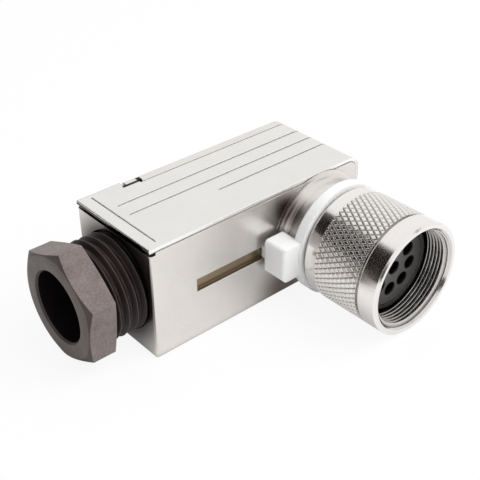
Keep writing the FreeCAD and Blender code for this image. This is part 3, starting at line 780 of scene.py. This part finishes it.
# %% Hand out the finishes
CONTACT_COUNT = 8
FINISH_OF = {
    "body_shell": cast_nickel,
    "cover": sheet_nickel,
    "coupling_ring": ring_nickel,
    "shield_sleeve": sleeve_nickel,
    "index_ring": white_plastic,
    "contact_insert": dark_plastic,
    "contact_carrier": dark_plastic,
    "insert_retainer": dark_plastic,
    "friction_washer": spring_steel,
    "retaining_ring": spring_steel,
    "gland_screw": gland_plastic,
    "thrust_washer": washer_steel,
    "seat_washer": washer_steel,
    "cable_seal": seal_rubber,
}
FINISH_OF.update({f"contact_{number}": contact_silver for number in range(1, CONTACT_COUNT + 1)})
for name, node in nodes.items():
    for slot in node.material_slots:
        slot.material = FINISH_OF[name]
print("dressed:", len(nodes))

# %% [markdown]
# ## The coupling ring
# The real ring is turned, knurled and threaded. Two knurling wheels press crossing grooves at 28
# degrees to the axis, which leaves small flat-topped diamonds. A bump texture could fake that,
# but the outline of the band is visibly toothed, so the diamonds are built as mesh.
# All of the ring is one closed skin. It is made in rings of points, from the rear face forward,
# round the mouth, and back through the thread. Its sizes are in mm, and depths are measured
# forward from the box's front wall.

# %% Measure the solid ring and set the knurl
rear_depth = 5.75
wall_front = ring_high.y + rear_depth * MM
outer = (ring_high.x - ring_low.x) / 2
knurl_count = 64
knurl_start = 8.45
knurl_end = 16.85
knurl_rows = 10
groove_depth = 0.22
flat_share = 0.6
pitch = 2 * math.pi / knurl_count
print("ring radius in mm:", round(outer * 1000, 2))
print("diamond width in mm:", round(pitch * outer * 1000, 3))


def ring_point(angle, radius_mm, depth_mm):
    """A point of the ring, from its angle, radius and distance in front of the wall."""
    return (
        ring_axis.x + radius_mm * MM * math.cos(angle),
        wall_front - depth_mm * MM,
        ring_axis.z + radius_mm * MM * math.sin(angle),
    )


# %% [markdown]
# A skin collects points and faces, and becomes a mesh at the end. Both the ring and the gland
# screw are made this way: rings of points, each joined to the next, close into one mesh.

# %% Make the mesh helper
class Skin:
    """Collects points and faces for one mesh."""

    def __init__(self):
        self.points = []
        self.faces = []

    def add(self, point):
        """Keeps a point and gives its number."""
        self.points.append(point)
        return len(self.points) - 1

    def face(self, *corners):
        """One face, without corners that repeat."""
        kept = [c for i, c in enumerate(corners) if c != corners[i - 1]]
        if len(set(kept)) > 2:
            self.faces.append(tuple(kept))

    def strip(self, first, second):
        """Joins two closed rings of points with as many faces."""
        count = len(first)
        for i in range(count):
            j = (i + 1) % count
            self.face(first[i], first[j], second[j], second[i])

    def mesh(self, name, finish, crease=30):
        """The finished mesh, with its normals outward and its sharp edges marked."""
        made = bpy.data.meshes.new(name)
        made.from_pydata(self.points, [], self.faces)
        cleaner = bmesh.new()
        cleaner.from_mesh(made)
        bmesh.ops.remove_doubles(cleaner, verts=cleaner.verts, dist=1e-7)
        bmesh.ops.recalc_face_normals(cleaner, faces=cleaner.faces)
        cleaner.to_mesh(made)
        cleaner.free()
        made.shade_smooth()
        made.set_sharp_from_angle(angle=math.radians(crease))
        made.materials.append(finish)
        print(name, "faces:", len(made.polygons))
        return made


skin = Skin()
print("points in the ring's skin so far:", len(skin.points))

# %% [markdown]
# The knurl has one row of crossing points for every half diamond. Every second row is shifted by
# half a diamond. Round each diamond's middle sits a smaller one, its flat top, and four sloping
# faces join the two. At both ends the diamonds are cut in half.

# %% Turn the rear, press the knurl and turn the front
def knurl_band(skin):
    """The diamonds. Returns the ring of points at each end."""
    row_step = (knurl_end - knurl_start) / knurl_rows
    top = outer * 1000
    low = top - groove_depth
    rows = [(0.5 * (row % 2), knurl_start + row * row_step) for row in range(knurl_rows + 1)]
    crossings = [
        [skin.add(ring_point((cell + shift) * pitch, low, depth_mm)) for cell in range(knurl_count)]
        for shift, depth_mm in rows
    ]
    ends = {0: [], knurl_rows: []}
    for row, (shift, depth_mm) in enumerate(rows):
        for cell in range(knurl_count):
            middle = (cell + shift + 0.5) * pitch
            half = flat_share * pitch / 2
            left = skin.add(ring_point(middle - half, top, depth_mm))
            right = skin.add(ring_point(middle + half, top, depth_mm))
            cross_left = crossings[row][cell]
            cross_right = crossings[row][(cell + 1) % knurl_count]
            across = (cell + row % 2) % knurl_count
            tips = {}
            for way in (-1, 1):
                if 0 <= row + way <= knurl_rows:
                    tip = skin.add(ring_point(middle, top, depth_mm + way * flat_share * row_step))
                    outer_tip = crossings[row + way][across]
                    skin.face(cross_left, left, tip, outer_tip)
                    skin.face(cross_right, right, tip, outer_tip)
                    tips[way] = tip
            if len(tips) == 2:
                skin.face(left, tips[-1], right, tips[1])
            else:
                skin.face(left, right, list(tips.values())[0])
                ends[row] += [cross_left, left, right]
    return ends[0], ends[knurl_rows]


turn_angles = [(cell + part) * pitch for cell in range(knurl_count) for part in (0, 0.25, 0.75)]


def turned_rings(skin, profile):
    """A ring of points for each radius and depth of a profile."""
    return [[skin.add(ring_point(angle, r, d)) for angle in turn_angles] for r, d in profile]


rear = turned_rings(skin, [(7.0, rear_depth), (8.65, rear_depth), (9.1, 6.35), (9.1, 8.4)])
low_end, high_end = knurl_band(skin)
front_groove = [(8.75, 16.9), (8.75, 17.3)]
mouth_rim = [(9.25, 17.35), (9.25, 20.35), (8.95, 20.65), (8.45, 20.65), (8.1, 20.3)]
front = turned_rings(skin, front_groove + mouth_rim)
print("points in the rear, the knurl and the front:", len(skin.points))

# %% [markdown]
# The mating thread inside the mouth is a fine one. It is made of rings of points too, each with as
# many points as an end of the knurl has, so that the skin closes. The thread's crest follows a
# helix: the radius depends on the depth and on the angle together. It runs out on the bevel of the
# mouth, as a cut thread does, and fades before the wider bore behind it.

# %% Cut the mating thread and close the ring
ROOT_SHARE = 0.16
FLANK_SHARE = 0.78
mate_radius = 7.6
mate_pitch = 0.62
mate_depth = 0.36
mate_fade = 0.25
thread_from = 20.3
mouth_start = 19.8
thread_to = 16.45
thread_rings = 84


def thread_wave(turns):
    """Nought at the root and one at the crest of a thread, for a number of turns."""
    part = turns - math.floor(turns)
    slope = 1 - abs(2 * part - 1)
    return min(1.0, max(0.0, (slope - ROOT_SHARE) / FLANK_SHARE))


def mating_thread(angle, depth_mm):
    """The thread's radius at an angle and a depth."""
    fade = min(1.0, (thread_from - depth_mm) / mate_fade, (depth_mm - thread_to) / mate_fade)
    minor = mate_radius + max(0.0, depth_mm - mouth_start)
    turns = depth_mm / mate_pitch + angle / (2 * math.pi)
    return minor + mate_depth * fade * (1 - thread_wave(turns))


thread = []
for number in range(1, thread_rings):
    depth_mm = thread_from + (thread_to - thread_from) * number / thread_rings
    thread.append(
        [skin.add(ring_point(a, mating_thread(a, depth_mm), depth_mm)) for a in turn_angles]
    )
back = turned_rings(skin, [(mate_radius, thread_to), (8.15, thread_to), (8.15, 7.15), (7.0, 7.15)])
for loops in (rear + [low_end], [high_end] + front + thread + back + [rear[0]]):
    for first, second in zip(loops, loops[1:]):
        skin.strip(first, second)
knurled_ring = new_object("knurled_ring", skin.mesh("knurled_ring", ring_nickel))
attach(knurled_ring, "coupling_ring")
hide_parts("coupling_ring")

# %% [markdown]
# ## The gland screw
# The gland screw is one plastic moulding: a hexagon for the spanner and a coarse thread, hollow for
# the cable. A nut's hexagon is cut by a cone at each face, which leaves the curved lines on its
# flats. In rings round the axis this is easy: at each angle the hexagon's edge has its own
# distance from the axis, and the cone takes off what belongs to that distance. The cone at the
# back is a smaller cut than the one in front. Places along the axis count in mm, to the left.

# %% Measure the gland and make its hexagon
hex_face = -gland_low.x * 1000
hex_back = hex_face - 4.6
shank_end = -gland_high.x * 1000
across_flats = 16.5
cone_start = across_flats / 2 - 0.2
cone_slope = math.tan(math.radians(24))
back_cone = 0.35
bore = 5.65
bore_lip = 0.3
hex_turn = math.radians(52)
side_columns = 36
gland_angles = [hex_turn + math.pi / 3 * i / side_columns for i in range(6 * side_columns)]


def gland_point(angle, radius_mm, along_mm):
    """A point of the gland. The angle starts at the top and turns towards the back."""
    return (
        -along_mm * MM,
        radius_mm * MM * math.sin(angle),
        gland_axis_z + radius_mm * MM * math.cos(angle),
    )


def hexagon(angle):
    """The distance from the axis to the hexagon's edge at an angle."""
    from_corner = (angle - hex_turn) % (math.pi / 3)
    return across_flats / 2 / math.cos(from_corner - math.pi / 6)


def cone_drop(angle):
    """How far the cone has cut away the hexagon's edge at an angle."""
    return max(0.0, (hexagon(angle) - cone_start) * cone_slope)


def gland_ring(radius, along):
    """One ring of points. Each value is a number, or a function of the angle."""

    def at(value, angle):
        return value(angle) if callable(value) else value

    return [skin.add(gland_point(a, at(radius, a), at(along, a))) for a in gland_angles]


skin = Skin()
loops = [
    gland_ring(bore, hex_face - bore_lip),
    gland_ring(bore + bore_lip, hex_face),
    gland_ring(cone_start, hex_face),
    gland_ring(hexagon, lambda a: hex_face - cone_drop(a)),
    gland_ring(hexagon, lambda a: hex_back + back_cone * cone_drop(a)),
    gland_ring(cone_start, hex_back),
]
print("hexagon:", round(2 * hexagon(hex_turn), 2), "mm over corners")

# %% [markdown]
# The shank's thread is coarse, and about four crests show between the hexagon and the box. Its
# radius changes with the angle and along the axis together, so each crest winds as a helix does,
# and some twelve rings of points to a turn keep it smooth. It fades out at the shank's end and
# leaves a narrow neck at the hexagon.

# %% Cut the coarse thread and close the bore
crest = 7.9
root = 7.15
lead = 1.5
end_fade = 0.8
neck_fade = 0.35
shank_rings = 96
thread_top = hex_back - 0.02


def coarse_thread(angle, along):
    """The thread's radius at an angle and a place along the axis."""
    fade = min(1.0, max(0.0, (along - shank_end) / end_fade))
    neck = min(1.0, max(0.0, (hex_back - along) / neck_fade))
    turns = along / lead - angle / (2 * math.pi)
    return root + (crest - root) * fade * neck * thread_wave(turns)


for number in range(shank_rings + 1):
    along = thread_top - (thread_top - shank_end) * number / shank_rings
    loops.append(gland_ring(lambda a: coarse_thread(a, along), along))
loops.append(gland_ring(bore, shank_end))
for first, second in zip(loops, loops[1:] + loops[:1]):
    skin.strip(first, second)
threaded_gland = new_object("threaded_gland", skin.mesh("threaded_gland", gland_plastic, crease=35))
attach(threaded_gland, "gland_screw")
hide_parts("gland_screw")
